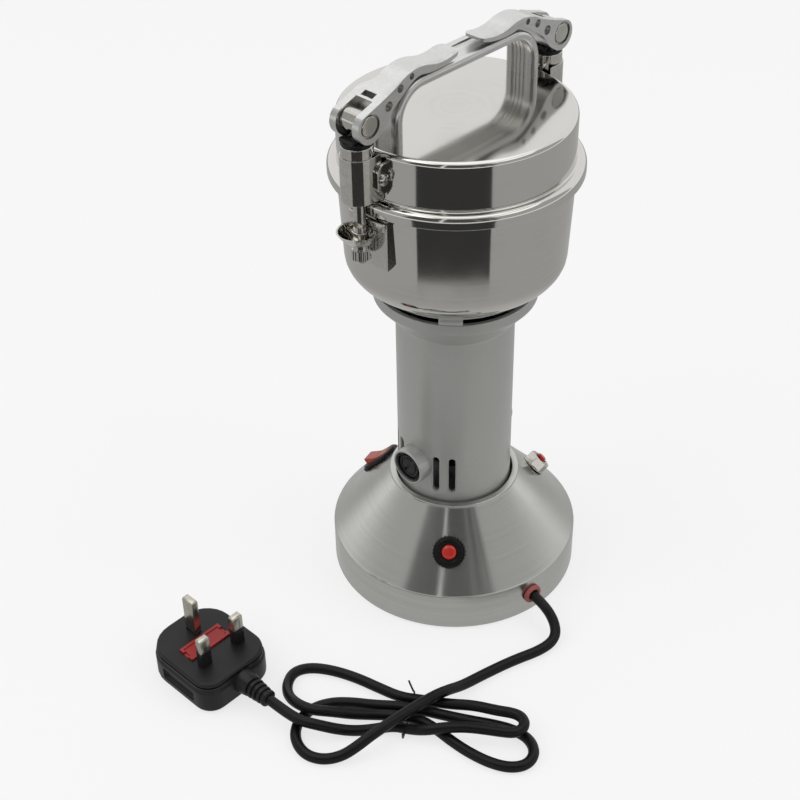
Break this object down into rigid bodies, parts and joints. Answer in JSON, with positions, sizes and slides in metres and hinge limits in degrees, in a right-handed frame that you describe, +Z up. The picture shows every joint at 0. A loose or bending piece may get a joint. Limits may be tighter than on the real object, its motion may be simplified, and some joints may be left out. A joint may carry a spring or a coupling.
{
  "type": "electric grain mill",
  "caption": "Upright electric grain mill: round base with switches and mains cord, motor column, steel grinding bowl and a lid held down by hooked cam clamps.",
  "frame": {"origin": "on the mill's axis, at the underside of its feet", "axes": "+Z up along the motor shaft, +X along the lid handle towards one clamp, Y across the handle"},
  "size_m": [0.26, 0.206, 0.313],
  "materials": {
    "base_metal": "spun, brushed in circles, satin",
    "housing_paint": "silver grey paint, satin",
    "polished_steel": "polished stainless steel, nearly a mirror",
    "handle_metal": "satin cast aluminium",
    "bright_metal": "nickel plated, bright",
    "screw_steel": "zinc plated steel",
    "inner_steel": "ground steel",
    "laminations": "dull grey laminated steel",
    "copper": "enamelled copper",
    "inner_metal": "cast aluminium",
    "carbon": "dull carbon",
    "black_plastic": "black moulded plastic",
    "plug_plastic": "black moulded plug, satin",
    "black_rubber": "black rubber, dull",
    "white_rubber": "pale silicone rubber",
    "red_plastic": "red, glossy",
    "fuse_red": "dark red, satin",
    "grommet_pink": "dusty red rubber",
    "cord_black": "black cord sheath, satin",
    "tie_wire": "black coated wire",
    "pin_nickel": "nickel plated brass"
  },
  "bodies": {
    "mill_base": {"base_shell": "base_metal", "base_plate": "base_metal", "rubber_feet": "black_rubber", "pan_head_screws": "screw_steel", "housing_gasket": "black_rubber", "motor_housing": "housing_paint", "lower_bracket": "inner_metal", "lower_bearing": "inner_steel", "stator": "laminations", "stator_coils": "copper", "brush_holders": "black_plastic", "carbon_brushes": "carbon", "brush_caps": "black_plastic", "bowl_seat": "housing_paint", "upper_bearing": "inner_steel", "bowl_gasket": "black_rubber", "bowl": "polished_steel", "shaft_seal": "black_rubber", "bowl_brackets": "polished_steel", "rocker_housing": "black_plastic", "reset_bezel": "black_plastic", "hex_nut": "bright_metal", "button_barrel": "screw_steel", "cord_grommet": "grommet_pink", "power_cord": "cord_black", "cord_bundle": "cord_black", "cord_tie": "tie_wire", "plug_body": "plug_plastic", "plug_pins": "pin_nickel", "plug_fuse_cover": "fuse_red"},
    "lid_assembly": {"lid": "polished_steel", "lid_gasket": "white_rubber", "handle": "handle_metal", "lid_screws": "screw_steel", "clamp_lugs": "bright_metal", "clamp_sleeves": "bright_metal", "clamp_tubes": "bright_metal", "clamp_bushes": "black_plastic"},
    "rotor": {"motor_shaft": "inner_steel", "commutator": "copper", "armature_core": "laminations", "armature_windings": "copper", "fan": "black_plastic", "blade_spacers": "inner_steel", "lower_blade": "inner_steel", "upper_blade": "inner_steel", "blade_nut": "screw_steel"},
    "rocker_switch": {"rocker": "red_plastic"},
    "reset_button": {"red_button": "red_plastic"},
    "small_button": {"hex_button": "red_plastic"},
    "rod_right": {"clamp_rod_right": "bright_metal", "cross_pin_right": "bright_metal"},
    "lever_right": {"clamp_lever_right": "handle_metal"},
    "cup_right": {"clamp_cup_right": "bright_metal"},
    "nut_right": {"knurled_nut_right": "bright_metal"},
    "rod_left": {"clamp_rod_left": "bright_metal", "cross_pin_left": "bright_metal"},
    "lever_left": {"clamp_lever_left": "handle_metal"},
    "cup_left": {"clamp_cup_left": "bright_metal"},
    "nut_left": {"knurled_nut_left": "bright_metal"}
  },
  "joints": [
    {"name": "lid_turn", "type": "hinge", "parent": "mill_base", "child": "lid_assembly", "pos_m": [0, 0, 0.247], "axis": [0, 0, 1], "range_deg": [-30, 30]},
    {"name": "motor_spin", "type": "hinge", "parent": "mill_base", "child": "rotor", "pos_m": [0, 0, 0.1], "axis": [0, 0, 1], "continuous": true},
    {"name": "power_switch", "type": "hinge", "parent": "mill_base", "child": "rocker_switch", "pos_m": [-0.01216, 0.0454, 0.04648], "axis": [-0.9659, -0.2588, 0], "range_deg": [0, 24]},
    {"name": "reset_press", "type": "slide", "parent": "mill_base", "child": "reset_button", "axis": [0.5672, 0.4659, -0.6791], "range_m": [0, 0.0015], "stiffness_N_per_m": 400},
    {"name": "small_button_press", "type": "slide", "parent": "mill_base", "child": "small_button", "axis": [-0.654, 0.3332, -0.6791], "range_m": [0, 0.0015], "stiffness_N_per_m": 400},
    {"name": "clamp_rod_right", "type": "slide", "parent": "lid_assembly", "child": "rod_right", "axis": [0, 0, -1], "range_m": [0, 0.0017]},
    {"name": "clamp_lever_right", "type": "hinge", "parent": "rod_right", "child": "lever_right", "pos_m": [0.0658, 0, 0.295], "axis": [0, 1, 0], "range_deg": [0, 140]},
    {"name": "cup_slide_right", "type": "slide", "parent": "rod_right", "child": "cup_right", "axis": [0, 0, -1], "range_m": [0, 0.003]},
    {"name": "nut_turn_right", "type": "hinge", "parent": "cup_right", "child": "nut_right", "pos_m": [0.0658, 0, 0.228], "axis": [0, 0, -1], "range_deg": [0, 1080]},
    {"name": "clamp_rod_left", "type": "slide", "parent": "lid_assembly", "child": "rod_left", "axis": [0, 0, -1], "range_m": [0, 0.0017]},
    {"name": "clamp_lever_left", "type": "hinge", "parent": "rod_left", "child": "lever_left", "pos_m": [-0.0658, 0, 0.295], "axis": [0, -1, 0], "range_deg": [0, 140]},
    {"name": "cup_slide_left", "type": "slide", "parent": "rod_left", "child": "cup_left", "axis": [0, 0, -1], "range_m": [0, 0.003]},
    {"name": "nut_turn_left", "type": "hinge", "parent": "cup_left", "child": "nut_left", "pos_m": [-0.0658, 0, 0.228], "axis": [0, 0, -1], "range_deg": [0, 1080]}
  ],
  "couplings": [
    {"joint": "clamp_rod_right", "follows": "clamp_lever_right", "m_per_rad": 0.0006955},
    {"joint": "nut_turn_right", "follows": "cup_slide_right", "rad_per_m": 6283},
    {"joint": "clamp_rod_left", "follows": "clamp_lever_left", "m_per_rad": 0.0006955},
    {"joint": "nut_turn_left", "follows": "cup_slide_left", "rad_per_m": 6283}
  ]
}
